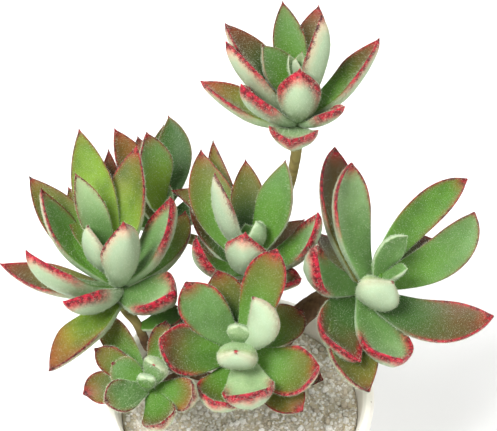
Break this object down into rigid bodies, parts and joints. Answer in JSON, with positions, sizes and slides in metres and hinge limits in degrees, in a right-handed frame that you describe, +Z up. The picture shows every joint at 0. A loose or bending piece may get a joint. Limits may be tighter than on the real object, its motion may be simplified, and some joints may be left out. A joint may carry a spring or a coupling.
{
  "type": "potted ruby slipper echeveria",
  "caption": "Branching fuzzy succulent with red-edged fleshy leaf rosettes on brown stems, in a plain white tapered pot of gritty soil.",
  "frame": {"origin": "middle of the pot's underside, on the ground", "axes": "+Z up, -Y towards the side that the plant is seen from, +X to its right"},
  "size_m": [0.163, 0.125, 0.2],
  "materials": {
    "pot": "satin white glaze, bare clay underside",
    "soil": "loose gritty mix of pumice, grit and dark humus",
    "stems": "brown woody succulent stem, dull, ringed by leaf scars",
    "leaves": "fleshy green leaf with fine white velvet and crimson edges"
  },
  "bodies": {
    "root": {"pot": "pot", "soil": "soil", "stems": "stems", "rosette_top": "leaves", "rosette_left": "leaves", "rosette_back": "leaves", "rosette_middle": "leaves", "rosette_right": "leaves", "rosette_front": "leaves", "rosette_low": "leaves"}
  },
  "joints": []
}
